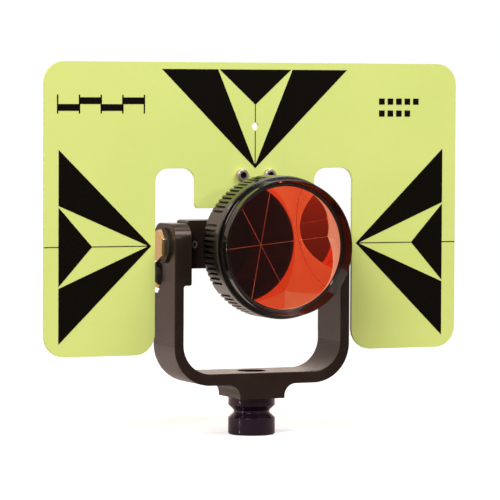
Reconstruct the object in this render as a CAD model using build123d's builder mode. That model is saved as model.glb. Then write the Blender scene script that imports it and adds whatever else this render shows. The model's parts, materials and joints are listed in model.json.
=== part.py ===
from build123d import *
import math
import os

# Single-tilt survey prism: a 62.5 mm glass corner cube in a screw-in canister, carried
# with a sighting plate in a tilting holder between the arms of a yoke on a pole adapter.
# Millimetres. Origin: mouth of the pole socket. +Z up, glass faces -Y, +X to the right
# as seen by whoever looks into the glass.

os.makedirs("parts", exist_ok=True)

# ---------------------------------------------------------------- driving dimensions
pivot_height = 97.4          # tilt axis above the socket mouth
running_gap = 0.05           # radial gap of a shaft in its bush
soft_gap = 0.1               # gap around gaskets and cushions
overrun = 1.0                # how far a cut runs past the solid
near = 0.01                  # tolerance when corners and edges are picked

# yoke
yoke_depth = 28.6
arm_outer = 48.5             # half of the yoke's outside width
arm_thickness = 5.0
arm_top_rise = 11.3          # arm top above the tilt axis
arm_top_radius = 8.0
boss_inner = 39.2            # inner face of the thickened arm top
boss_drop = 19.8             # boss bottom below the tilt axis
boss_fillet = 1.2
long_edge_break = 0.3
long_edge = 40.0             # straight edges longer than this are broken
bar_top = 32.5
bar_thickness = 5.9
outer_corner = 20.0
inner_corner = 15.0
hub_bottom = 19.2
hub_half_width = 12.3
hub_fillet = 6.3
hub_bore_radius = 7.4

# pole adapter
stem_radius = 12.0
stem_chamfer = 0.7
groove_height = 11.9
groove_half_width = 3.2
groove_depth = 2.8
groove_flat = 1.2
socket_radius = 6.8          # minor radius of a 5/8-11 thread
socket_depth = 14.0
stud_top = 31.7

# tilt pivots
shoulder_radius = 5.0
bush_radius = 6.98
bush_bore_radius = 7.0
flange_radius = 9.5
flange_thickness = 0.8
side_gap = 0.1
washer_radius = 8.95
washer_thickness = 1.5
washer_gap = 0.06
washer_chamfer = 0.3
hex_radius = 8.25            # across corners
hex_height = 2.7
hex_turn = 25.0              # turn of a bolt head away from a corner straight ahead
pivot_thread_radius = 3.97
pivot_thread_bore = 4.0
pivot_thread_end = 29.5
hex_crown = 0.4              # height of the cut-back corners of a bolt head
hex_crown_inset = 0.6

# tilt lock, under the left pivot at the back of the arm
lock_x = -45.8
lock_lean = 35.0             # lock axis away from straight down, towards the back
lock_hole_radius = 2.55
lock_screw_radius = 2.5
shoe_radius = 2.45
shoe_start = 5.03
shoe_end = 9.0
pocket_start = 11.5
knob_start = 12.2
knob_end = 20.2
knob_neck_radius = 4.4
knob_radius = 7.0
lock_head_radius = 6.1       # brass head of the lock screw, in the knob's end
knob_rim = 2.8
scallop_count = 8
scallop_radius = 1.5
scallop_offset = 0.6         # scallop centres outside the knob's rim
slot_width = 1.4             # screwdriver slot in the lock screw's head
slot_depth = 1.2

# notch in the back of the left arm, depths and heights from the tilt axis
notch_front_top = 2.3
notch_front_middle = 5.4
notch_front_bottom = 9.0
notch_back = yoke_depth / 2 + overrun
notch_high = -4.2
notch_shoulder = -12.4
notch_bend = -20.9
notch_low = -24.6

# holder ring
ring_radius = 24.5
ring_bore = 19.55
ring_front = -6.0
ring_back = 8.5
lug_half_height = 12.2
lug_rise = 0.6               # middle of the lugs above the tilt axis
lug_end = boss_inner - flange_thickness - side_gap
pad_half_width = 14.0
pad_top = 41.0
pad_back = 6.5
pad_corner = 3.0
pad_foot = ring_bore + overrun
lug_corner = 1.5
seat_gap = 0.3               # gap under the tongue of the plate
mark_x = -34.4               # round mark on the front of the left lug
mark_height = 0.6
mark_depth = 0.25
mark_outside = (1.35, 1.8)   # half-width and half-height
mark_inside = (0.8, 1.2)
grub_recess = 0.3
grub_socket = 0.85
grub_socket_depth = 1.6

# sighting plate, heights measured from the tilt axis
plate_width = 228.6
plate_top = 92.86
plate_bottom = -55.14
plate_front = -3.1
plate_thickness = 1.6
plate_corner = 10.8
lobe_inner = 54.8
tongue_half_width = 33.1
notch_top = 39.1
notch_corner = 6.7
tongue_bottom = 18.8
tongue_corner = 2.0
arch_radius = 20.4
sight_hole_radius = 1.9
sight_hole_height = 60.3
print_thickness = 0.12
hairline = 0.42
hairline_overlap = 0.7       # of an edge line and its arrow
print_margin = 0.5           # clear of the sight hole

# plate screws
screw_spacing = 15.3
screw_height = 35.5
screw_radius = 1.48
screw_hole_radius = 1.5
plate_hole_gap = 0.2
screw_head_radius = 3.05
screw_head_height = 3.0
screw_length = 7.0
screw_head_chamfer = 0.45
screw_socket = 1.5
screw_socket_depth = 1.7

# canister, depths measured along Y
rim_front = -47.4
rim_radius = 34.4
rim_bore = 33.7              # mouth of the rim, which narrows towards the glass
rim_throat = 32.1
rim_back = -39.15
nose_radius = 33.2
nose_front = -42.2
body_radius = 36.0
body_front = -39.0
body_back = -20.0
neck_radius = 33.0
neck_taper = -13.0           # where the neck starts to narrow towards the holder
neck_back_radius = 28.5
neck_back = -8.5
shoulder_disc_radius = 24.5
barrel_radius = 19.5
barrel_back = 8.0
cell_radius = 31.6
ledge_radius = 28.5
ledge_depth = -13.6
barrel_bore = 17.4
barrel_bore_front = -5.5
retainer_front = -42.2
retainer_back = -40.45
retainer_bore = 30.95
retainer_chamfer = 0.4
gasket_width = 0.5
cushion_height = 1.8
cushion_lip = 0.75           # width of the cushion's front edge
seal_thickness = 0.6
seal_inset = 0.3
cover_thickness = 1.6
cover_rib_width = 4.0
cover_rib_height = 0.8
spanner_hole_radius = 1.2
spanner_hole_depth = 1.2
spanner_hole_spot = 15.4     # distance of the two spanner holes from the middle
flute_group_count = 6
flutes_per_group = 12
flute_pitch = 4.35
body_edge = 0.5
rim_groove_step = 0.3        # half-width of the fine groove round the rim's back
rim_groove_depth = 0.4
rim_groove_spot = 1.3        # in front of the rim's back
rim_outer_fillet = 0.4
rim_inner_fillet = 0.2
first_gap = 36.0             # angle of one plain gap between flute groups
flute_length = 14.4
flute_width = 1.4
flute_depth = 1.1
flute_overrun = 0.5          # at both ends of a flute

# glass
glass_radius = 31.25
glass_front = -40.0
apex_depth = 6.2
cube_face_tilt = math.degrees(math.acos(1 / math.sqrt(3)))
first_edge = 8.5             # direction of one cube edge about the optical axis

arm_top = pivot_height + arm_top_rise
bar_bottom = bar_top - bar_thickness
lean = math.radians(lock_lean)


# ---------------------------------------------------------------- planes
def facing(depth):
    """Upright plane at a depth, centred on the tilt axis, looking out to the front."""
    return Plane(origin=(0, depth, pivot_height), x_dir=(1, 0, 0), z_dir=(0, -1, 0))


def sideways(x):
    """Plane square to the tilt axis, centred on it. Local x is depth, local y is height."""
    return Plane(origin=(x, 0, pivot_height), x_dir=(0, 1, 0), z_dir=(1, 0, 0))


def lock_plane(distance):
    """Plane square to the lock axis, this far from the tilt axis, looking away from it."""
    origin = (lock_x, distance * math.sin(lean), pivot_height - distance * math.cos(lean))
    return Plane(origin=origin, x_dir=(1, 0, 0), z_dir=(0, math.sin(lean), -math.cos(lean)))


half_section = Plane(origin=(0, 0, pivot_height), x_dir=(1, 0, 0), z_dir=(0, 0, 1))
optical_axis = Axis((0, 0, pivot_height), (0, 1, 0))


# ---------------------------------------------------------------- yoke
with BuildPart() as yoke_frame:
    with BuildSketch(Plane.XZ) as yoke_profile:
        outer_height = arm_top - bar_bottom
        with Locations((0, bar_bottom)):
            Rectangle(2 * arm_outer, outer_height, align=(Align.CENTER, Align.MIN))
        fillet(yoke_profile.vertices().group_by(Axis.Y)[0], outer_corner)
        with BuildSketch(Plane.XZ, mode=Mode.SUBTRACT) as window:
            with Locations((0, bar_top)):
                inner_width = 2 * (arm_outer - arm_thickness)
                Rectangle(inner_width, outer_height, align=(Align.CENTER, Align.MIN))
            fillet(window.vertices().group_by(Axis.Y)[0], inner_corner)
        boss_width = arm_outer - boss_inner
        boss_height = arm_top_rise + boss_drop
        for side in (-1, 1):
            boss_x = side * (boss_inner + boss_width / 2)
            with Locations((boss_x, arm_top - boss_height / 2)):
                Rectangle(boss_width, boss_height)
        boss_bottom = pivot_height - boss_drop
        boss_corners = yoke_profile.vertices().filter_by(
            lambda v: abs(v.Y - boss_bottom) < near and abs(v.X) < arm_outer - overrun)
        fillet(boss_corners, boss_fillet)
        hub_height = bar_top - hub_bottom
        with Locations((0, hub_bottom)):
            Rectangle(2 * hub_half_width, hub_height, align=(Align.CENTER, Align.MIN))
        hub_roots = yoke_profile.vertices().filter_by(
            lambda v: abs(v.Y - bar_bottom) < near and abs(abs(v.X) - hub_half_width) < near)
        fillet(hub_roots, hub_fillet)
    extrude(amount=yoke_depth / 2, both=True)
    top_corners = yoke_frame.edges().filter_by(Axis.X).filter_by(
        lambda e: abs(e.center().Z - arm_top) < near)
    fillet(top_corners, arm_top_radius)
    with BuildSketch(sideways(0)):
        Circle(bush_bore_radius)
    extrude(amount=arm_outer + overrun, both=True, mode=Mode.SUBTRACT)
    with BuildSketch(Plane.XY.offset(hub_bottom)):
        Circle(hub_bore_radius)
    extrude(amount=hub_height, mode=Mode.SUBTRACT)
    # notch in the back of the left arm, which the lock knob sits in
    with BuildSketch(sideways(-arm_outer - overrun)):
        with BuildLine():
            Polyline(
                (notch_back, notch_high),
                (notch_front_top, notch_shoulder),
                (notch_front_middle, notch_bend),
                (notch_front_bottom, notch_low),
                (notch_back, notch_low),
                close=True,
            )
        make_face()
    extrude(amount=boss_width + 2 * overrun, mode=Mode.SUBTRACT)
    with BuildSketch(lock_plane(shoulder_radius)):
        Circle(lock_hole_radius)
    extrude(amount=pocket_start - shoulder_radius + overrun, mode=Mode.SUBTRACT)
    rim_edges = yoke_frame.edges().filter_by(
        lambda e: e.geom_type == GeomType.LINE and e.length > long_edge)
    rim_edges = rim_edges.filter_by(lambda e: abs(e.center().Y) > yoke_depth / 2 - overrun)
    chamfer(rim_edges, long_edge_break)

with BuildPart() as stem_adapter:
    with BuildSketch(Plane.XZ):
        with BuildLine():
            groove_low = groove_height - groove_half_width
            groove_high = groove_height + groove_half_width
            waist = stem_radius - groove_depth
            Polyline(
                (socket_radius, 0),
                (stem_radius - stem_chamfer, 0),
                (stem_radius, stem_chamfer),
                (stem_radius, groove_low),
                (waist, groove_height - groove_flat / 2),
                (waist, groove_height + groove_flat / 2),
                (stem_radius, groove_high),
                (stem_radius, hub_bottom),
                (hub_bore_radius - running_gap, hub_bottom),
                (hub_bore_radius - running_gap, stud_top - stem_chamfer),
                (hub_bore_radius - running_gap - stem_chamfer, stud_top),
                (0, stud_top),
                (0, socket_depth),
                (socket_radius, socket_depth),
                close=True,
            )
        make_face()
    revolve(axis=Axis.Z)

# ---------------------------------------------------------------- pivots, one per arm
bushes = {}
pivot_washers = {}
pivot_bolts = {}
for name, side in (("left", -1), ("right", 1)):
    inner_face = side * boss_inner
    with BuildPart() as bush:
        with BuildSketch(sideways(inner_face)):
            Circle(bush_radius)
        extrude(amount=side * boss_width)
        with BuildSketch(sideways(inner_face)):
            Circle(flange_radius)
        extrude(amount=-side * flange_thickness)
        with BuildSketch(sideways(0)):
            Circle(shoulder_radius + running_gap)
        extrude(amount=side * (arm_outer + overrun), mode=Mode.SUBTRACT)
        if side < 0:
            with BuildSketch(lock_plane(0)):
                Circle(lock_hole_radius)
            extrude(amount=pocket_start, mode=Mode.SUBTRACT)
    bushes[name] = bush

    washer_inner = side * (arm_outer + washer_gap)
    with BuildPart() as washer:
        with BuildSketch(sideways(washer_inner)):
            Circle(washer_radius)
            Circle(shoulder_radius + running_gap, mode=Mode.SUBTRACT)
        extrude(amount=side * washer_thickness)
        chamfer(washer.faces().sort_by(Axis.X)[0 if side < 0 else -1].edges(), washer_chamfer)
    pivot_washers[name] = washer

    head_inner = washer_inner + side * washer_thickness
    with BuildPart() as bolt:
        with BuildSketch(sideways(head_inner)):
            RegularPolygon(hex_radius, 6, rotation=180 + side * hex_turn)
        extrude(amount=side * hex_height)
        with BuildPart(mode=Mode.INTERSECT):
            with BuildSketch(sideways(head_inner)):
                Circle(hex_radius)
            extrude(amount=side * hex_height)
            crown = faces().sort_by(Axis.X)[0 if side < 0 else -1]
            chamfer(crown.edges(), length=hex_crown, length2=hex_crown_inset)
        with BuildSketch(sideways(side * lug_end)):
            Circle(shoulder_radius)
        extrude(amount=head_inner - side * lug_end)
        with BuildSketch(sideways(side * pivot_thread_end)):
            Circle(pivot_thread_radius)
        extrude(amount=side * (lug_end - pivot_thread_end))
    pivot_bolts[name] = bolt

# ---------------------------------------------------------------- tilt lock
with BuildPart() as lock_shoe:
    with BuildSketch(lock_plane(shoe_start)):
        Circle(shoe_radius)
    extrude(amount=shoe_end - shoe_start)

with BuildPart() as lock_screw:
    with BuildSketch(lock_plane(shoe_end)):
        Circle(lock_screw_radius)
    extrude(amount=knob_end - shoe_end)
    with BuildSketch(lock_plane(knob_end)):
        Circle(lock_head_radius)
    extrude(amount=knob_rim)
    with BuildSketch(lock_plane(knob_end + knob_rim - slot_depth)):
        Rectangle(slot_width, 2 * (lock_head_radius + overrun))
    extrude(amount=slot_depth + overrun, mode=Mode.SUBTRACT)

with BuildPart() as lock_knob:
    with BuildSketch(lock_plane(knob_start)):
        Circle(knob_neck_radius)
    with BuildSketch(lock_plane(knob_end)):
        Circle(knob_radius)
    loft()
    with BuildSketch(lock_plane(knob_start)):
        with PolarLocations(knob_radius + scallop_offset, scallop_count):
            Circle(scallop_radius)
    extrude(amount=knob_end - knob_start, mode=Mode.SUBTRACT)
    with BuildSketch(lock_plane(knob_start)):
        Circle(lock_screw_radius)
    extrude(amount=knob_end - knob_start, mode=Mode.SUBTRACT)

# ---------------------------------------------------------------- holder ring
plate_back = plate_front + plate_thickness
with BuildPart() as holder_ring:
    with BuildSketch(facing(ring_back)):
        Circle(ring_radius)
        with Locations((0, lug_rise)):
            Rectangle(2 * lug_end, 2 * lug_half_height)
    extrude(amount=ring_back - ring_front)
    lug_corners = holder_ring.edges().filter_by(Axis.Y).filter_by(
        lambda e: abs(e.center().X) > lug_end - near)
    fillet(lug_corners, lug_corner)
    # seat that the plate's tongue drops into
    with BuildSketch(facing(plate_back)):
        with Locations((0, tongue_bottom - seat_gap)):
            Rectangle(2 * (ring_radius + overrun), ring_radius, align=(Align.CENTER, Align.MIN))
    extrude(amount=plate_back - ring_front + overrun, mode=Mode.SUBTRACT)
    with BuildSketch(facing(pad_back)) as pad:
        with Locations((0, pad_foot)):
            Rectangle(2 * pad_half_width, pad_top - pad_foot, align=(Align.CENTER, Align.MIN))
        fillet(pad.vertices().group_by(Axis.Y)[-1], pad_corner)
    extrude(amount=pad_back - plate_back)
    with BuildSketch(facing(ring_back)):
        Circle(ring_bore)
    extrude(amount=ring_back - ring_front, mode=Mode.SUBTRACT)
    with BuildSketch(facing(pad_back)):
        with Locations((0, screw_height)):
            with GridLocations(screw_spacing, 1, 2, 1):
                Circle(screw_hole_radius)
    extrude(amount=pad_back - plate_back, mode=Mode.SUBTRACT)
    for side in (-1, 1):
        with BuildSketch(sideways(side * pivot_thread_end)):
            Circle(pivot_thread_bore)
        extrude(amount=side * (lug_end + overrun - pivot_thread_end), mode=Mode.SUBTRACT)
    # hole for the grub screw that locks the canister thread
    ring_middle = (ring_front + ring_back) / 2
    with BuildSketch(Plane.XY.offset(pivot_height - ring_radius - overrun)):
        with Locations((0, ring_middle)):
            Circle(screw_hole_radius)
    extrude(amount=ring_radius - ring_bore + 2 * overrun, mode=Mode.SUBTRACT)
    # shallow round mark on the front of the left lug
    with BuildSketch(facing(ring_front)) as mark_ring:
        with Locations((mark_x, mark_height)):
            Ellipse(*mark_outside)
            Ellipse(*mark_inside, mode=Mode.SUBTRACT)
    extrude(amount=-mark_depth, mode=Mode.SUBTRACT)

with BuildPart() as lug_mark:
    add(mark_ring.sketch)
    extrude(amount=-mark_depth, dir=(0, -1, 0))

with BuildPart() as canister_grub_screw:
    grub_plane = Plane.XY.offset(pivot_height - ring_radius + grub_recess)
    with BuildSketch(grub_plane):
        with Locations((0, ring_middle)):
            Circle(screw_radius)
    extrude(amount=ring_radius - ring_bore - grub_recess - side_gap)
    with BuildSketch(grub_plane):
        with Locations((0, ring_middle)):
            RegularPolygon(grub_socket, 6)
    extrude(amount=grub_socket_depth, mode=Mode.SUBTRACT)

# ---------------------------------------------------------------- sighting plate
half_outline = [
    ((plate_width / 2, plate_top), plate_corner),
    ((plate_width / 2, plate_bottom), plate_corner),
    ((lobe_inner, plate_bottom), plate_corner),
    ((lobe_inner, notch_top), notch_corner),
    ((tongue_half_width, notch_top), notch_corner),
    ((tongue_half_width, tongue_bottom), tongue_corner),
]
right_points = [point for point, radius in half_outline]
left_points = [(-x, y) for x, y in reversed(right_points)]
corner_radii = [radius for point, radius in half_outline]

with BuildPart() as target_plate:
    with BuildSketch(facing(plate_back)):
        with BuildLine():
            radii = corner_radii + corner_radii[::-1]
            FilletPolyline(*right_points, *left_points, radius=radii, close=True)
        make_face()
        Circle(arch_radius, mode=Mode.SUBTRACT)
        with Locations((0, sight_hole_height)):
            Circle(sight_hole_radius, mode=Mode.SUBTRACT)
        with Locations((0, screw_height)):
            with GridLocations(screw_spacing, 1, 2, 1):
                Circle(screw_hole_radius + plate_hole_gap, mode=Mode.SUBTRACT)
    extrude(amount=plate_thickness)

# Printed figures: an arrow of two dark wings with a dark wedge between their ends. Each
# arrow is (tip x, tip y, direction of its base, height, half-width of its base).
arrow_tip_top = 39.0
arrow_tip_side = 57.0
side_arrow_height = 49.7
arrows = (
    (0, arrow_tip_top, 90, 50.3, 51.4),
    (arrow_tip_side, 0, 0, side_arrow_height, 48.7),
    (-arrow_tip_side, 0, 180, side_arrow_height, 48.7),
)
wing_inner = 20.7
wedge_half_width = 19.9
wedge_depth = 17.9
tip_land = 1.4               # solid tip of an arrow, before its pale middle starts
line_overlap = 0.5           # of an arrow's middle line with its tip and its wedge
bar_left = -107.3            # graduated bar: cells that step up and down between ticks
bar_middle = 71.5
bar_cells = 4
bar_cell_width = 11.6
bar_cell_height = 3.4
bar_tick_width = 0.7
bar_tick_height = 9.4
dash_left = 71.5
dash_pitch = 4.9
dash_size = 3.2
dash_rows = ((73.2, 5), (67.0, 4))     # height of each row and its number of dashes
with BuildPart() as target_markings:
    with BuildSketch(facing(plate_front)) as printing:
        for tip_x, tip_y, direction, height, base in arrows:
            with Locations(Location((tip_x, tip_y, 0), direction)):
                with BuildSketch(Plane.XY, mode=Mode.PRIVATE) as arrow:
                    with BuildLine():
                        Polyline(
                            (0, 0),
                            (height, base),
                            (height, wing_inner),
                            (tip_land, 0),
                            (height, -wing_inner),
                            (height, -base),
                            close=True,
                        )
                    make_face()
                    with BuildLine():
                        Polyline(
                            (height - wedge_depth, 0),
                            (height, wedge_half_width),
                            (height, -wedge_half_width),
                            close=True,
                        )
                    make_face()
                    line_length = height - wedge_depth - tip_land + 2 * line_overlap
                    with Locations((tip_land - line_overlap + line_length / 2, 0)):
                        Rectangle(line_length, hairline)
                add(arrow.sketch)
        # hairlines from the side arrows to the plate's edges
        edge_line_length = plate_width / 2 - arrow_tip_side - side_arrow_height + hairline_overlap
        for side in (-1, 1):
            with Locations((side * (plate_width / 2 - edge_line_length / 2), 0)):
                Rectangle(edge_line_length, hairline)
        # plain graduated bar at the upper left
        for step in range(bar_cells):
            cell_x = bar_left + bar_cell_width * (step + 0.5)
            cell_y = bar_middle + bar_cell_height * (0.5 if step % 2 else -0.5)
            with Locations((cell_x, cell_y)):
                Rectangle(bar_cell_width, bar_cell_height)
        for step in range(bar_cells + 1):
            with Locations((bar_left + bar_cell_width * step, bar_middle)):
                Rectangle(bar_tick_width, bar_tick_height)
        # two plain rows of dashes at the upper right
        for row_height, dash_count in dash_rows:
            for step in range(dash_count):
                with Locations((dash_left + dash_pitch * step, row_height)):
                    Rectangle(dash_size, dash_size)
        with Locations((0, sight_hole_height)):
            Circle(sight_hole_radius + print_margin, mode=Mode.SUBTRACT)
    extrude(amount=print_thickness)

with BuildPart() as target_screws:
    screw_spots = Locations((0, screw_height))
    with BuildSketch(facing(plate_front)):
        with screw_spots:
            with GridLocations(screw_spacing, 1, 2, 1):
                Circle(screw_head_radius)
    extrude(amount=screw_head_height)
    head_rims = target_screws.faces().sort_by(Axis.Y)[0:2].edges()
    chamfer(head_rims, screw_head_chamfer)
    with BuildSketch(facing(plate_front)):
        with screw_spots:
            with GridLocations(screw_spacing, 1, 2, 1):
                Circle(screw_radius)
    extrude(amount=-screw_length)
    with BuildSketch(facing(plate_front - screw_head_height)):
        with screw_spots:
            with GridLocations(screw_spacing, 1, 2, 1):
                RegularPolygon(screw_socket, 6)
    extrude(amount=-screw_socket_depth, mode=Mode.SUBTRACT)

# ---------------------------------------------------------------- canister
with BuildPart() as canister_body:
    with BuildSketch(half_section):
        with BuildLine():
            Polyline(
                (cell_radius, nose_front),
                (nose_radius, nose_front),
                (nose_radius, body_front),
                (body_radius - body_edge, body_front),
                (body_radius, body_front + body_edge),
                (body_radius, body_back - body_edge),
                (body_radius - body_edge, body_back),
                (neck_radius, body_back),
                (neck_radius, neck_taper),
                (neck_back_radius, neck_back),
                (shoulder_disc_radius, neck_back),
                (shoulder_disc_radius, ring_front),
                (barrel_radius, ring_front),
                (barrel_radius, barrel_back),
                (barrel_bore, barrel_back),
                (barrel_bore, barrel_bore_front),
                (ledge_radius, ledge_depth),
                (cell_radius, ledge_depth),
                close=True,
            )
        make_face()
    revolve(axis=optical_axis)
    flute_planes = []
    flute_middle = body_back - flute_length / 2 + flute_overrun
    for group in range(flute_group_count):
        gap_angle = first_gap + group * 360 / flute_group_count
        first_offset = (360 / flute_group_count - (flutes_per_group - 1) * flute_pitch) / 2
        for step in range(flutes_per_group):
            angle = math.radians(gap_angle + first_offset + step * flute_pitch)
            outward = (math.cos(angle), 0, math.sin(angle))
            surface = (
                body_radius * outward[0],
                flute_middle,
                pivot_height + body_radius * outward[2],
            )
            flute_planes.append(Plane(origin=surface, x_dir=(0, 1, 0), z_dir=outward))
    with BuildSketch(*flute_planes):
        SlotOverall(flute_length + 2 * flute_overrun, flute_width)
    extrude(amount=-flute_depth, mode=Mode.SUBTRACT)

groove_middle = rim_back - rim_groove_spot
with BuildPart() as canister_bezel:
    with BuildSketch(half_section) as bezel_profile:
        with BuildLine():
            Polyline(
                (nose_radius + running_gap, rim_back),
                (rim_radius, rim_back),
                (rim_radius, groove_middle + rim_groove_step),
                (rim_radius - rim_groove_depth, groove_middle),
                (rim_radius, groove_middle - rim_groove_step),
                (rim_radius, rim_front),
                (rim_bore, rim_front),
                (rim_throat, nose_front - running_gap),
                (nose_radius + running_gap, nose_front - running_gap),
                close=True,
            )
        make_face()
        front_corners = bezel_profile.vertices().group_by(Axis.Y)[0]
        fillet(front_corners.sort_by(Axis.X)[-1], rim_outer_fillet)
        inner_front = bezel_profile.vertices().group_by(Axis.Y)[0].sort_by(Axis.X)[0]
        fillet(inner_front, rim_inner_fillet)
    revolve(axis=optical_axis)

with BuildPart() as glass_retaining_ring:
    with BuildSketch(half_section) as retainer_profile:
        with BuildLine():
            Polyline(
                (retainer_bore, retainer_back),
                (cell_radius - running_gap, retainer_back),
                (cell_radius - running_gap, retainer_front),
                (retainer_bore + retainer_chamfer, retainer_front),
                (retainer_bore, retainer_front + retainer_chamfer),
                close=True,
            )
        make_face()
    revolve(axis=optical_axis)

with BuildPart() as front_gasket:
    with BuildSketch(half_section):
        gasket_middle = retainer_bore + soft_gap + gasket_width / 2
        with Locations((gasket_middle, (retainer_back + glass_front) / 2)):
            Rectangle(gasket_width, glass_front - retainer_back)
    revolve(axis=optical_axis)

with BuildPart() as prism_glass:
    with BuildSketch(facing(apex_depth)):
        Circle(glass_radius)
    extrude(amount=apex_depth - glass_front)
    for face_index in range(3):
        # a cube face lies opposite each cube edge
        direction = math.radians(first_edge + 180 + 120 * face_index)
        rise = math.sin(math.radians(cube_face_tilt))
        cut_normal = (
            rise * math.cos(direction),
            math.cos(math.radians(cube_face_tilt)),
            rise * math.sin(direction),
        )
        cut_plane = Plane(origin=(0, apex_depth, pivot_height), z_dir=cut_normal)
        split(bisect_by=cut_plane, keep=Keep.BOTTOM)

cushion_outer = cell_radius - soft_gap
with BuildPart() as rear_cushion:
    with BuildSketch(half_section):
        with BuildLine():
            Polyline(
                (cushion_outer, ledge_depth - cushion_height),
                (cushion_outer - cushion_lip, ledge_depth - cushion_height),
                (ledge_radius + soft_gap, ledge_depth),
                (cushion_outer, ledge_depth),
                close=True,
            )
        make_face()
    revolve(axis=optical_axis)

with BuildPart() as rear_cover_seal:
    with BuildSketch(facing(barrel_back + seal_thickness)):
        Circle(barrel_radius - seal_inset)
        Circle(barrel_bore, mode=Mode.SUBTRACT)
    extrude(amount=seal_thickness)

cover_front = barrel_back + seal_thickness
cover_back = cover_front + cover_thickness
with BuildPart() as rear_cover:
    with BuildSketch(facing(cover_back)):
        Circle(barrel_radius)
    extrude(amount=cover_thickness)
    # spigot that centres the cover in the barrel
    with BuildSketch(facing(cover_front)):
        Circle(barrel_bore - running_gap)
    extrude(amount=cover_thickness)
    with BuildSketch(facing(cover_back)):
        Circle(barrel_bore - cover_rib_width)
    extrude(amount=-cover_rib_height)
    with BuildSketch(facing(cover_back)):
        with PolarLocations(spanner_hole_spot, 2):
            Circle(spanner_hole_radius)
    extrude(amount=spanner_hole_depth, mode=Mode.SUBTRACT)
    chamfer(rear_cover.faces().sort_by(Axis.Y)[-1].edges(), cover_rib_height / 2)

# ---------------------------------------------------------------- write every piece
pieces = {
    "yoke_frame": yoke_frame,
    "stem_adapter": stem_adapter,
    "left_pivot_bush": bushes["left"],
    "right_pivot_bush": bushes["right"],
    "left_pivot_washer": pivot_washers["left"],
    "right_pivot_washer": pivot_washers["right"],
    "left_pivot_bolt": pivot_bolts["left"],
    "right_pivot_bolt": pivot_bolts["right"],
    "lock_shoe": lock_shoe,
    "lock_screw": lock_screw,
    "lock_knob": lock_knob,
    "holder_ring": holder_ring,
    "lug_mark": lug_mark,
    "canister_grub_screw": canister_grub_screw,
    "target_plate": target_plate,
    "target_markings": target_markings,
    "target_screws": target_screws,
    "canister_body": canister_body,
    "canister_bezel": canister_bezel,
    "glass_retaining_ring": glass_retaining_ring,
    "front_gasket": front_gasket,
    "prism_glass": prism_glass,
    "rear_cushion": rear_cushion,
    "rear_cover_seal": rear_cover_seal,
    "rear_cover": rear_cover,
}
for name, piece in pieces.items():
    piece.part.label = name
    export_step(piece.part, f"parts/{name}.step")
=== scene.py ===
import json
import math

import bmesh
import bpy
from mathutils import Matrix, Vector


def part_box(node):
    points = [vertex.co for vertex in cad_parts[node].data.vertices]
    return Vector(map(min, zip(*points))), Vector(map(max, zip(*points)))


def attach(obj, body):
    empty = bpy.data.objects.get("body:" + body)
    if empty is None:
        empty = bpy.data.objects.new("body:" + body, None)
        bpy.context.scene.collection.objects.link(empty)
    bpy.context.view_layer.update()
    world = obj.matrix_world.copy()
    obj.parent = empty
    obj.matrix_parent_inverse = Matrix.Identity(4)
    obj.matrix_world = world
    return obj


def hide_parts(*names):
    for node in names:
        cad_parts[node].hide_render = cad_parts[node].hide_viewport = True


# Looks of a single-tilt survey prism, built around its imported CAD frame.
# Metres, +Z up, the glass faces -Y. Places on the part come from the frame's own joints and boxes,
# apart from the two ends of the flutes.

MM = 0.001

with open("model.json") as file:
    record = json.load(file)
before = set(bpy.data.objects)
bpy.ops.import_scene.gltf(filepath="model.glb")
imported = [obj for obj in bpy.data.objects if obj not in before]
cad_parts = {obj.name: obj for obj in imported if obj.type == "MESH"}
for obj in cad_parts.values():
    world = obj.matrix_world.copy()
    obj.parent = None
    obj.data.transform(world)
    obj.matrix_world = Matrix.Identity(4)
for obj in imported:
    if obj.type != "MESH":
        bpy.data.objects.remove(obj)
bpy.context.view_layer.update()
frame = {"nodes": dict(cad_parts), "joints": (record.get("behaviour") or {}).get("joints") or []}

scene = bpy.context.scene
nodes = frame["nodes"]
joints = {joint["name"]: joint for joint in frame["joints"]}
pivot = Vector(joints["tilt"]["pos_m"])


# ---------------------------------------------------------------- camera
CAMERA_YAW = math.radians(23.413)      # the camera stands this far to the left of straight ahead
CAMERA_PITCH = math.radians(2.753)     # and looks down by this much
CAMERA_ROLL = math.radians(0.273)
CAMERA_DISTANCE = 1.7243
CAMERA_LENS = 242.5
CAMERA_SENSOR = 36.0
CAMERA_NEAR, CAMERA_FAR = 0.05, 50.0
AIM_OFFSET = Vector((-1.27, 0.0, -2.96)) * MM      # from the tilt axis to the middle of the picture


def add_camera():
    forward = Vector((
        math.sin(CAMERA_YAW) * math.cos(CAMERA_PITCH),
        math.cos(CAMERA_YAW) * math.cos(CAMERA_PITCH),
        -math.sin(CAMERA_PITCH),
    ))
    level_right = Vector((math.cos(CAMERA_YAW), -math.sin(CAMERA_YAW), 0.0))
    level_up = level_right.cross(forward)
    right = level_right * math.cos(CAMERA_ROLL) + level_up * math.sin(CAMERA_ROLL)
    up = level_up * math.cos(CAMERA_ROLL) - level_right * math.sin(CAMERA_ROLL)
    camera = bpy.data.objects.new("camera", bpy.data.cameras.new("camera"))
    camera.data.lens = CAMERA_LENS
    camera.data.sensor_width = CAMERA_SENSOR
    camera.data.clip_start = CAMERA_NEAR
    camera.data.clip_end = CAMERA_FAR
    place = Matrix((right, up, -forward)).transposed().to_4x4()
    place.translation = pivot + AIM_OFFSET - forward * CAMERA_DISTANCE
    camera.matrix_world = place
    scene.collection.objects.link(camera)
    scene.camera = camera


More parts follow.
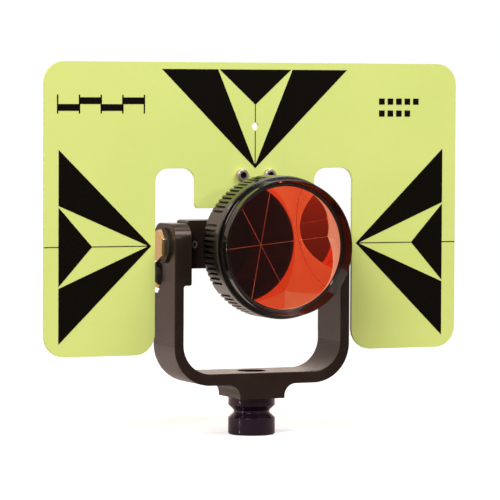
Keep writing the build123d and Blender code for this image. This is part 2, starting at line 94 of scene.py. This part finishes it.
# ---------------------------------------------------------------- light and floor
# Name, offset from the tilt axis, size and power of each light.
SOFTBOXES = (
    ("key", (-0.9, -1.0, 0.9), (0.7, 0.7), 17.4),
    ("fill", (0.62, -0.85, 1.05), (0.6, 0.6), 9.5),
    ("low_fill", (0.50, -1.13, 0.40), (0.20, 0.07), 1.5),
    ("left_strip", (-1.25, -0.12, -0.02), (0.05, 0.14), 1.8),
    ("top", (0.0, -0.025, 1.3), (1.2, 0.55), 5.6),
)
WORLD_SEEN = 1.02                      # strength of the white that the camera sees
WORLD_AHEAD = Vector((-0.15, -1.0, -0.05)).normalized()
# What light and reflections get from around the object, from opposite WORLD_AHEAD (0) to along it (1).
WORLD_STEPS = (
    (0.0, (1.20, 0.98, 0.85)),
    (0.02, (1.10, 0.90, 0.78)),
    (0.06, (0.59, 0.465, 0.405)),
    (0.30, (0.56, 0.44, 0.385)),
    (0.50, (0.52, 0.42, 0.37)),
    (0.70, (0.25, 0.20, 0.18)),
    (0.85, (0.22, 0.19, 0.18)),
    (0.925, (0.30, 0.27, 0.26)),
    (0.96, (0.003, 0.003, 0.003)),
)
FLOOR_RADIUS = 0.75
FLOOR_SIDES = 96
FLOOR_WHITE = (0.80, 0.80, 0.80)       # the floor that the camera sees
FLOOR_GLOW = 0.45                      # and the light it adds, so that it stays white
FLOOR_TINT = (1.0, 0.89, 0.85)
# The floor that light and reflections meet: Y in metres and shade, darkest ahead of the glass.
FLOOR_STEPS = ((-0.72, 0.19), (-0.60, 0.125), (-0.35, 0.06), (-0.05, 0.30), (0.10, 0.80))


def add_softbox(name, offset, size, power):
    """A rectangular light that faces the tilt axis and that the camera doesn't see."""
    data = bpy.data.lights.new(name, "AREA")
    data.shape = "RECTANGLE"
    data.size, data.size_y = size
    data.energy = power
    light = bpy.data.objects.new(name, data)
    light.location = pivot + Vector(offset)
    light.rotation_euler = (pivot - light.location).to_track_quat("-Z", "Y").to_euler()
    light.visible_camera = False
    scene.collection.objects.link(light)


def fill_ramp(ramp, steps):
    """Give a colour ramp its (position, colour) steps, lowest first."""
    elements = ramp.color_ramp.elements
    while len(elements) < len(steps):
        elements.new(0.5)
    for element, (position, colour) in zip(elements, steps):
        element.position = position
        element.color = (*colour, 1.0)


def build_world():
    """White to the camera. To all else, bright behind the object and dark ahead of the glass."""
    world = bpy.data.worlds.new("studio")
    world.use_nodes = True
    scene.world = world
    tree = world.node_tree
    tree.nodes.clear()
    out = tree.nodes.new("ShaderNodeOutputWorld")
    seen = tree.nodes.new("ShaderNodeBackground")
    seen.inputs["Color"].default_value = (1.0, 1.0, 1.0, 1.0)
    seen.inputs["Strength"].default_value = WORLD_SEEN
    around = tree.nodes.new("ShaderNodeBackground")
    mix = tree.nodes.new("ShaderNodeMixShader")
    path = tree.nodes.new("ShaderNodeLightPath")
    coords = tree.nodes.new("ShaderNodeTexCoord")
    dot = tree.nodes.new("ShaderNodeVectorMath")
    dot.operation = "DOT_PRODUCT"
    dot.inputs[1].default_value = WORLD_AHEAD
    span = tree.nodes.new("ShaderNodeMapRange")
    span.inputs["From Min"].default_value = -1.0
    ramp = tree.nodes.new("ShaderNodeValToRGB")
    fill_ramp(ramp, WORLD_STEPS)
    tree.links.new(coords.outputs["Generated"], dot.inputs[0])
    tree.links.new(dot.outputs["Value"], span.inputs["Value"])
    tree.links.new(span.outputs["Result"], ramp.inputs["Fac"])
    tree.links.new(ramp.outputs["Color"], around.inputs["Color"])
    tree.links.new(path.outputs["Is Camera Ray"], mix.inputs["Fac"])
    tree.links.new(around.outputs["Background"], mix.inputs[1])
    tree.links.new(seen.outputs["Background"], mix.inputs[2])
    tree.links.new(mix.outputs["Shader"], out.inputs["Surface"])


def floor_material():
    """White and faintly glowing to the camera. To all else, shaded by its depth."""
    material = bpy.data.materials.new("floor")
    material.use_nodes = True
    tree = material.node_tree
    tree.nodes.clear()
    out = tree.nodes.new("ShaderNodeOutputMaterial")
    mix = tree.nodes.new("ShaderNodeMixShader")
    path = tree.nodes.new("ShaderNodeLightPath")
    grey = tree.nodes.new("ShaderNodeBsdfDiffuse")
    coords = tree.nodes.new("ShaderNodeTexCoord")
    split = tree.nodes.new("ShaderNodeSeparateXYZ")
    span = tree.nodes.new("ShaderNodeMapRange")
    span.inputs["From Min"].default_value = -FLOOR_RADIUS
    span.inputs["From Max"].default_value = FLOOR_RADIUS
    ramp = tree.nodes.new("ShaderNodeValToRGB")
    steps = []
    for depth, shade in FLOOR_STEPS:
        position = (depth + FLOOR_RADIUS) / (2 * FLOOR_RADIUS)
        steps.append((position, [shade * part for part in FLOOR_TINT]))
    fill_ramp(ramp, steps)
    pale = tree.nodes.new("ShaderNodeBsdfDiffuse")
    pale.inputs["Color"].default_value = (*FLOOR_WHITE, 1.0)
    glow = tree.nodes.new("ShaderNodeEmission")
    glow.inputs["Strength"].default_value = FLOOR_GLOW
    seen = tree.nodes.new("ShaderNodeAddShader")
    tree.links.new(coords.outputs["Object"], split.inputs["Vector"])
    tree.links.new(split.outputs["Y"], span.inputs["Value"])
    tree.links.new(span.outputs["Result"], ramp.inputs["Fac"])
    tree.links.new(ramp.outputs["Color"], grey.inputs["Color"])
    tree.links.new(pale.outputs["BSDF"], seen.inputs[0])
    tree.links.new(glow.outputs["Emission"], seen.inputs[1])
    tree.links.new(path.outputs["Is Camera Ray"], mix.inputs["Fac"])
    tree.links.new(grey.outputs["BSDF"], mix.inputs[1])
    tree.links.new(seen.outputs["Shader"], mix.inputs[2])
    tree.links.new(mix.outputs["Shader"], out.inputs["Surface"])
    return material


def build_floor():
    """A disc under the object that takes its shadow."""
    mesh = bpy.data.meshes.new("floor")
    rim = []
    for index in range(FLOOR_SIDES):
        angle = 2 * math.pi * index / FLOOR_SIDES
        rim.append((FLOOR_RADIUS * math.cos(angle), FLOOR_RADIUS * math.sin(angle), 0.0))
    mesh.from_pydata(rim, [], [tuple(range(FLOOR_SIDES))])
    floor = bpy.data.objects.new("floor", mesh)
    scene.collection.objects.link(floor)
    mesh.materials.append(floor_material())


# ---------------------------------------------------------------- node helpers
NOISE_LOW, NOISE_HIGH = 0.3, 0.7       # nearly all of a noise's values lie between these
COLOUR_INPUTS = (6, 7)                 # the colour sockets of a Mix node, after its other kinds
COLOUR_OUTPUT = 2
# One minus the cosine of a bevelled normal's turn: no edge below the first, all edge above the second.
EDGE_TURN = (0.02, 0.3)


class Shade:
    """A material under construction: short names for the nodes that every finish uses."""

    def __init__(self, name):
        self.material = bpy.data.materials.new(name)
        self.material.use_nodes = True
        self.tree = self.material.node_tree
        self.shader = self.tree.nodes["Principled BSDF"]
        self.coords = self.tree.nodes.new("ShaderNodeTexCoord")

    def node(self, kind, **settings):
        made = self.tree.nodes.new(kind)
        for key, value in settings.items():
            setattr(made, key, value)
        return made

    def link(self, source, target):
        self.tree.links.new(source, target)

    def fixed(self, **values):
        """Constant values, set on the shader's own sockets."""
        for key, value in values.items():
            self.shader.inputs[key.replace("_", " ")].default_value = value

    def split(self):
        """Object coordinates, as the sockets X, Y and Z."""
        node = self.node("ShaderNodeSeparateXYZ")
        self.link(self.coords.outputs["Object"], node.inputs["Vector"])
        return node.outputs

    def noise(self, scale, detail=4.0, roughness=0.55, stretch=(1.0, 1.0, 1.0)):
        """A noise in object coordinates, whose features get longer as stretch gets smaller."""
        texture = self.node("ShaderNodeTexNoise")
        texture.inputs["Scale"].default_value = scale
        texture.inputs["Detail"].default_value = detail
        texture.inputs["Roughness"].default_value = roughness
        mapping = self.node("ShaderNodeMapping")
        mapping.inputs["Scale"].default_value = stretch
        self.link(self.coords.outputs["Object"], mapping.inputs["Vector"])
        self.link(mapping.outputs["Vector"], texture.inputs["Vector"])
        return texture.outputs["Fac"]

    def remap(self, value, low, high, to_low=0.0, to_high=1.0):
        node = self.node("ShaderNodeMapRange", clamp=True)
        settings = {"From Min": low, "From Max": high, "To Min": to_low, "To Max": to_high}
        for socket, number in settings.items():
            node.inputs[socket].default_value = number
        self.link(value, node.inputs["Value"])
        return node.outputs["Result"]

    def maths(self, operation, first, second=0.0):
        node = self.node("ShaderNodeMath", operation=operation)
        for socket, value in zip(node.inputs, (first, second)):
            if isinstance(value, (int, float)):
                socket.default_value = value
            else:
                self.link(value, socket)
        return node.outputs["Value"]

    def distance(self, first, second):
        """Length of the step that goes first along one axis and second along another."""
        squares = [self.maths("MULTIPLY", value, value) for value in (first, second)]
        return self.maths("SQRT", self.maths("ADD", *squares))

    def blend(self, factor, first, second):
        """Colour mix. first and second are colours or sockets."""
        node = self.node("ShaderNodeMix", data_type="RGBA")
        self.link(factor, node.inputs["Factor"])
        for index, value in zip(COLOUR_INPUTS, (first, second)):
            if isinstance(value, tuple):
                node.inputs[index].default_value = (*value, 1.0)
            else:
                self.link(value, node.inputs[index])
        return node.outputs[COLOUR_OUTPUT]

    def mottle(self, noise, first, second, low=0.35, high=0.65):
        """Colour that goes from first to second as the noise goes from low to high."""
        return self.blend(self.remap(noise, low, high), first, second)

    def colour(self, socket):
        self.link(socket, self.shader.inputs["Base Color"])

    def rough(self, noise, low, high, extra=None):
        """Roughness that goes from low to high with the noise, plus a socket's value."""
        value = self.remap(noise, NOISE_LOW, NOISE_HIGH, low, high)
        if extra is not None:
            value = self.maths("ADD", value, extra)
        self.link(value, self.shader.inputs["Roughness"])

    def bumps(self, *layers, edge=0.0):
        """Bump layers of (height socket, strength, distance in metres) over softened edges."""
        normal = None
        if edge > 0:
            bevel = self.node("ShaderNodeBevel", samples=4)
            bevel.inputs["Radius"].default_value = edge
            normal = bevel.outputs["Normal"]
        for height, strength, distance in layers:
            bump = self.node("ShaderNodeBump")
            bump.inputs["Strength"].default_value = strength
            bump.inputs["Distance"].default_value = distance
            self.link(height, bump.inputs["Height"])
            if normal is not None:
                self.link(normal, bump.inputs["Normal"])
            normal = bump.outputs["Normal"]
        self.link(normal, self.shader.inputs["Normal"])

    def edges(self, radius):
        """1 on sharp edges, 0 on flats, from the way a bevelled normal turns away."""
        bevel = self.node("ShaderNodeBevel", samples=6)
        bevel.inputs["Radius"].default_value = radius
        geometry = self.node("ShaderNodeNewGeometry")
        dot = self.node("ShaderNodeVectorMath", operation="DOT_PRODUCT")
        self.link(bevel.outputs["Normal"], dot.inputs[0])
        self.link(geometry.outputs["Normal"], dot.inputs[1])
        return self.remap(self.maths("SUBTRACT", 1.0, dot.outputs["Value"]), *EDGE_TURN)


# ---------------------------------------------------------------- finishes
RUBBED_METAL = (0.17, 0.15, 0.14)
# painted shade: the black in the flutes' hollows
FLUTE_SHADE_BLACK = (0.0012, 0.0010, 0.0008)
# painted shade in the plate screws' sockets
PAINTED_SOCKET_SHADE = (0.050, 0.028, 0.020)
SOCKET_SHADE_SPREAD = 1.35          # radius at which the painted shade ends, against the socket's
RING_STRETCH = 0.02          # across a part's axis: so small a stretch turns a noise into rings


def fluted_painted_shade(shade, height, floor_radius, rim_radius, front, back):
    """Painted shade mask: 1 in the flutes cut into a drum that lies along Y, 0 on its ribs and its
    ends.
    """
    spot = shade.split()
    above = shade.maths("SUBTRACT", spot["Z"], height)
    deep = shade.remap(shade.distance(spot["X"], above), floor_radius, rim_radius, 1.0, 0.0)
    behind = shade.maths("GREATER_THAN", spot["Y"], front)
    ahead = shade.maths("LESS_THAN", spot["Y"], back)
    return shade.maths("MULTIPLY", deep, shade.maths("MULTIPLY", behind, ahead))


def anodised(name, dark, light, rough_low, rough_high, sheen, tint, ior, flutes=None):
    """Black anodised aluminium over a fine bead-blasted grain, rubbed paler on its edges.

    Flutes are (height of their axis, floor radius, rim radius, front, back): they are painted black as
    shade.
    """
    shade = Shade(name)
    cloud = shade.noise(60.0, detail=5.0)
    fine = shade.noise(2600.0, detail=2.0)
    base = shade.mottle(cloud, dark, light)
    scuffs = shade.remap(shade.noise(900.0, detail=6.0, roughness=0.7), 0.42, 0.62, 0.0, 0.8)
    rubbed = shade.maths("MULTIPLY", shade.edges(0.35 * MM), scuffs)
    worn = shade.blend(rubbed, base, RUBBED_METAL)
    if flutes:
        # painted shade in the flutes' hollows
        flute_shade = fluted_painted_shade(shade, *flutes)
        worn = shade.blend(flute_shade, worn, FLUTE_SHADE_BLACK)
        # painted shade: the flutes become a black metal, which has no gloss of its own, whatever the
        # specular level of the ribs
        shade.link(flute_shade, shade.shader.inputs["Metallic"])
    shade.colour(worn)
    shade.rough(shade.noise(220.0), rough_low, rough_high)
    shade.fixed(IOR=ior, Specular_IOR_Level=sheen, Specular_Tint=(*tint, 1.0))
    shade.bumps((fine, 0.16, 0.06 * MM), (cloud, 0.03, 0.2 * MM), edge=0.2 * MM)
    return shade.material


def turned(name, dark, light, rough_low, rough_high, axis, sheen, tint, strength):
    """A turned finish: fine tool lines around the part, as rings along its axis."""
    shade = Shade(name)
    stretch = tuple(1.0 if letter == axis else RING_STRETCH for letter in "XYZ")
    rings = shade.noise(9000.0, detail=2.0, roughness=0.6, stretch=stretch)
    shade.colour(shade.mottle(shade.noise(90.0), dark, light))
    shade.rough(rings, rough_low, rough_high)
    shade.fixed(Specular_IOR_Level=sheen, Specular_Tint=(*tint, 1.0))
    shade.bumps((rings, strength, 0.03 * MM), edge=0.2 * MM)
    return shade.material


def brass():
    """Clean brass with a few tarnished spots."""
    shade = Shade("brass")
    cloud = shade.noise(420.0, detail=5.0)
    clean = shade.mottle(cloud, (1.0, 0.74, 0.40), (0.95, 0.66, 0.30))
    tarnish = shade.remap(shade.noise(1600.0, detail=3.0), 0.60, 0.74, 0.0, 0.5)
    shade.colour(shade.blend(tarnish, clean, (0.44, 0.27, 0.11)))
    shade.rough(cloud, 0.12, 0.20)
    shade.fixed(Metallic=1.0)
    shade.bumps((shade.noise(7000.0, detail=2.0), 0.08, 0.03 * MM), edge=0.3 * MM)
    return shade.material


def nickel(name, sockets=None):
    """Nickel plate. Sockets are a pair, (half their spacing, height, radius), darkened with painted
    shade.
    """
    shade = Shade(name)
    cloud = shade.noise(700.0)
    metal = shade.mottle(cloud, (0.74, 0.66, 0.62), (0.46, 0.40, 0.37))
    rougher = None
    if sockets:
        half_spacing, height, radius = sockets
        spot = shade.split()
        across = shade.maths("SUBTRACT", shade.maths("ABSOLUTE", spot["X"]), half_spacing)
        above = shade.maths("SUBTRACT", spot["Z"], height)
        distance = shade.distance(across, above)
        # painted shade: the socket and a ring round it go dark and rougher
        socket_shade = shade.remap(distance, radius, radius * SOCKET_SHADE_SPREAD, 1.0, 0.0)
        metal = shade.blend(socket_shade, metal, PAINTED_SOCKET_SHADE)
        rougher = shade.maths("MULTIPLY", socket_shade, 0.3)
    shade.colour(metal)
    shade.rough(cloud, 0.24, 0.38, rougher)
    shade.fixed(Metallic=1.0)
    shade.bumps((shade.noise(9000.0, detail=2.0), 0.06, 0.02 * MM), edge=0.15 * MM)
    return shade.material


def plastic(name, dark, light, rough_low, rough_high, sheen=0.5):
    """Moulded plastic with a fine skin."""
    shade = Shade(name)
    shade.colour(shade.mottle(shade.noise(150.0), dark, light))
    shade.rough(shade.noise(600.0), rough_low, rough_high)
    shade.fixed(Specular_IOR_Level=sheen)
    shade.bumps((shade.noise(3500.0, detail=3.0), 0.15, 0.04 * MM), edge=0.2 * MM)
    return shade.material


def lime_sheet():
    """High-visibility plate: even yellow-green with a faint mottle, scuffs and a fine skin."""
    shade = Shade("lime_plate")
    broad = shade.noise(18.0, detail=5.0, roughness=0.6)
    fine = shade.noise(420.0, detail=5.0, roughness=0.65)
    skin = shade.noise(4200.0, detail=2.0)
    even = shade.mottle(broad, (0.70, 0.80, 0.215), (0.745, 0.835, 0.245), low=0.3, high=0.7)
    scuffs = shade.remap(fine, 0.58, 0.80, 0.0, 0.35)
    shade.colour(shade.blend(scuffs, even, (0.63, 0.73, 0.17)))
    shade.rough(fine, 0.36, 0.50)
    shade.fixed(Specular_IOR_Level=0.35)
    shade.bumps((fine, 0.05, 0.05 * MM), (skin, 0.06, 0.02 * MM), edge=0.3 * MM)
    return shade.material


def ink():
    """Black screen print."""
    shade = Shade("black_print")
    fine = shade.noise(1400.0, detail=5.0, roughness=0.7)
    shade.colour(shade.mottle(fine, (0.0035, 0.0025, 0.0015), (0.0070, 0.0052, 0.0032), high=0.75))
    shade.rough(fine, 0.38, 0.52)
    shade.fixed(Specular_IOR_Level=0.04)
    shade.bumps((fine, 0.08, 0.03 * MM))
    return shade.material


def paint():
    """Pale paint, worn thin, in the lug's mark."""
    shade = Shade("pale_paint")
    fine = shade.noise(2200.0, detail=5.0, roughness=0.7)
    shade.colour(shade.mottle(fine, (0.30, 0.29, 0.27), (0.12, 0.11, 0.10), low=0.4, high=0.6))
    shade.rough(fine, 0.5, 0.8)
    shade.bumps((fine, 0.2, 0.05 * MM))
    return shade.material


def rubber():
    shade = Shade("black_rubber")
    fine = shade.noise(1800.0)
    shade.colour(shade.blend(fine, (0.010, 0.010, 0.010), (0.022, 0.021, 0.020)))
    shade.rough(fine, 0.55, 0.75)
    shade.bumps((fine, 0.2, 0.05 * MM))
    return shade.material


def clear_glass():
    shade = Shade("optical_glass")
    shade.fixed(Base_Color=(1.0, 1.0, 1.0, 1.0), IOR=1.517, Transmission_Weight=1.0)
    shade.fixed(Specular_Tint=(0.42, 0.42, 0.42, 1.0))
    shade.rough(shade.noise(120.0), 0.0, 0.002)
    return shade.material


def copper(name, first, second, scale, rough_low, rough_high):
    """Copper coat, with a mottle as fine as scale says."""
    shade = Shade(name)
    grain = shade.noise(scale, detail=3.0)
    shade.colour(shade.blend(grain, first, second))
    shade.rough(grain, rough_low, rough_high)
    shade.fixed(Metallic=1.0)
    return shade.material


def ground_side():
    """The blank's ground wall. Its faint emission stands for light scattered inside the glass."""
    shade = Shade("ground_glass")
    grain = shade.noise(900.0, detail=3.0)
    shade.colour(shade.blend(grain, (0.90, 0.52, 0.38), (0.84, 0.46, 0.32)))
    shade.rough(grain, 0.7, 0.9)
    shade.fixed(Emission_Color=(1.0, 0.36, 0.20, 1.0), Emission_Strength=0.35)
    return shade.material


# ---------------------------------------------------------------- glass
GLASS_SIDES = 160
EDGE_LAND = 0.16 * MM
FRONT_BEVEL = 0.06 * MM
CUT_TOLERANCE = 1e-7
# Limits for normals, as cosines, and for areas in square metres.
CUT_LEAN = (0.4, 0.7)        # a square plane's normal against +Y
CUT_AREA = 4e-5              # smaller faces of the CAD glass don't count
OTHER_PLANE = 0.9            # below this, two normals are of different planes
SAME_PLANE = 0.999
SIDE_LEAN = 0.05             # below this, a face is on the blank's wall
FRONT_LEAN = 0.95            # below this, a face is on the front's bevel
CLEAR, MIRROR, LAND, GROUND = range(4)


def cube_normals():
    """Normals of the cube's three square planes, from the CAD glass."""
    normals = []
    for polygon in nodes["prism_glass"].data.polygons:
        normal = polygon.normal
        if CUT_LEAN[0] < normal.y < CUT_LEAN[1] and polygon.area > CUT_AREA:
            if all(normal.dot(known) < OTHER_PLANE for known in normals):
                normals.append(normal.normalized())
    return normals


def round_blank(centre, radius, front, back):
    """A closed cylinder along Y, bevelled round its front."""
    shape = bmesh.new()
    rings = []
    for depth, reach in ((front, radius - FRONT_BEVEL), (front + FRONT_BEVEL, radius), (back, radius)):
        ring = []
        for index in range(GLASS_SIDES):
            angle = 2 * math.pi * index / GLASS_SIDES
            spot = (centre.x + reach * math.cos(angle), depth, centre.z + reach * math.sin(angle))
            ring.append(shape.verts.new(spot))
        rings.append(ring)
    shape.faces.new(rings[0])
    shape.faces.new(rings[-1][::-1])
    for near, far in zip(rings, rings[1:]):
        for index in range(GLASS_SIDES):
            following = (index + 1) % GLASS_SIDES
            shape.faces.new((near[index], far[index], far[following], near[following]))
    bmesh.ops.recalc_face_normals(shape, faces=shape.faces)
    return shape


def build_glass():
    """The corner cube: a round blank cut by three square planes that meet at its apex."""
    low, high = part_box("prism_glass")
    centre = Vector(((low.x + high.x) / 2, 0, (low.z + high.z) / 2))
    normals = cube_normals()
    shape = round_blank(centre, (high.x - low.x) / 2, low.y, high.y)
    apex = Vector((centre.x, high.y, centre.z))
    for normal in normals:
        geometry = shape.verts[:] + shape.edges[:] + shape.faces[:]
        cut = bmesh.ops.bisect_plane(
            shape, geom=geometry, plane_co=apex, plane_no=normal, clear_outer=True, dist=CUT_TOLERANCE)
        rim = [item for item in cut["geom_cut"] if isinstance(item, bmesh.types.BMEdge)]
        bmesh.ops.contextual_create(shape, geom=rim)
    bmesh.ops.recalc_face_normals(shape, faces=shape.faces)
    shape.normal_update()

    def is_cut(face):
        return any(face.normal.dot(normal) > SAME_PLANE for normal in normals)

    edges = []
    for edge in shape.edges:
        if len(edge.link_faces) == 2 and all(is_cut(face) for face in edge.link_faces):
            edges.append(edge)
    lands = set(bmesh.ops.bevel(
        shape, geom=edges, offset=EDGE_LAND, segments=1, affect="EDGES", profile=0.5)["faces"])
    shape.normal_update()
    for face in shape.faces:
        lean = abs(face.normal.y)
        if face in lands:
            face.material_index = LAND
        elif is_cut(face):
            face.material_index = MIRROR
        elif lean < SIDE_LEAN:
            face.material_index = GROUND
            face.smooth = True
        elif lean < FRONT_LEAN:
            face.material_index = LAND
        else:
            face.material_index = CLEAR
    mesh = bpy.data.meshes.new("prism_corner_cube")
    shape.to_mesh(mesh)
    shape.free()
    # in the order of CLEAR, MIRROR, LAND and GROUND
    mesh.materials.append(clear_glass())
    mesh.materials.append(copper(
        "copper_mirror", (0.98, 0.55, 0.38), (0.9506, 0.5115, 0.342), 200.0, 0.0, 0.003))
    mesh.materials.append(copper(
        "copper_edge", (0.95, 0.36, 0.18), (0.80, 0.26, 0.12), 900.0, 0.45, 0.65))
    mesh.materials.append(ground_side())
    glass = bpy.data.objects.new("prism_corner_cube", mesh)
    scene.collection.objects.link(glass)
    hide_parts("prism_glass")
    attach(glass, "prism")


# ---------------------------------------------------------------- dress the frame
SOCKET_SHARE = 0.50          # radius of a plate screw's socket against its head's
FLUTE_SHADE_DEPTH = 0.75 * MM       # depth below the ribs from which the flutes are painted black as shade
FLUTE_SHADE_RIM = 0.15 * MM        # depth below the ribs at which the painted shade ends
FLUTE_FRONT = -35.5 * MM     # the flutes' two ends along Y, which no box gives
FLUTE_BACK = -20.05 * MM


def dress():
    """Give every CAD piece but the glass its finish."""
    black_cast = anodised(
        "black_anodised", (0.019, 0.011, 0.008), (0.029, 0.018, 0.014), 0.19, 0.28,
        sheen=0.4, tint=(1.0, 0.77, 0.67), ior=1.5)
    gloss = turned(
        "black_gloss", (0.003, 0.0022, 0.0018), (0.006, 0.0045, 0.0035), 0.04, 0.08, "Y",
        sheen=0.52, tint=(1.0, 0.90, 0.86), strength=0.012)
    adapter = turned(
        "adapter_black", (0.009, 0.004, 0.009), (0.014, 0.007, 0.013), 0.10, 0.18, "Z",
        sheen=0.55, tint=(1.0, 0.66, 0.88), strength=0.5)
    low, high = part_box("canister_body")
    drum = (high.x - low.x) / 2
    flutes = (pivot.z, drum - FLUTE_SHADE_DEPTH, drum - FLUTE_SHADE_RIM, FLUTE_FRONT, FLUTE_BACK)
    canister = anodised(
        "canister_black", (0.003, 0.0025, 0.002), (0.006, 0.005, 0.004), 0.15, 0.24,
        sheen=1.0, tint=(1.0, 0.96, 0.88), ior=1.6, flutes=flutes)
    low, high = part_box("target_screws")
    head_radius = (high.z - low.z) / 2
    half_spacing = (high.x - low.x) / 2 - head_radius
    sockets = (half_spacing, (low.z + high.z) / 2, SOCKET_SHARE * head_radius)
    nylon = plastic("black_nylon", (0.013, 0.012, 0.011), (0.022, 0.020, 0.018), 0.42, 0.55)
    grip = plastic("knob_plastic", (0.007, 0.006, 0.006), (0.013, 0.011, 0.011), 0.34, 0.46, sheen=0.3)
    finishes = (
        (black_cast, ("yoke_frame", "holder_ring")),
        (canister, ("canister_body", "rear_cover")),
        (adapter, ("stem_adapter",)),
        (gloss, ("canister_bezel", "glass_retaining_ring")),
        (nylon, ("left_pivot_bush", "right_pivot_bush", "left_pivot_washer", "right_pivot_washer",
                 "lock_shoe")),
        (brass(), ("left_pivot_bolt", "right_pivot_bolt", "lock_screw")),
        (grip, ("lock_knob",)),
        (nickel("nickel_steel"), ("canister_grub_screw",)),
        (nickel("nickel_socket_head", sockets), ("target_screws",)),
        (lime_sheet(), ("target_plate",)),
        (ink(), ("target_markings",)),
        (paint(), ("lug_mark",)),
        (rubber(), ("front_gasket", "rear_cushion", "rear_cover_seal")),
    )
    for material, names in finishes:
        for name in names:
            mesh = nodes[name].data
            mesh.materials.clear()
            mesh.materials.append(material)


add_camera()
build_world()
build_floor()
for softbox in SOFTBOXES:
    add_softbox(*softbox)
scene.view_settings.view_transform = "Standard"
# light crosses the glass and meets its three mirrors many times before it leaves
scene.cycles.max_bounces = 24
scene.cycles.glossy_bounces = 16
scene.cycles.transmission_bounces = 24
build_glass()
dress()
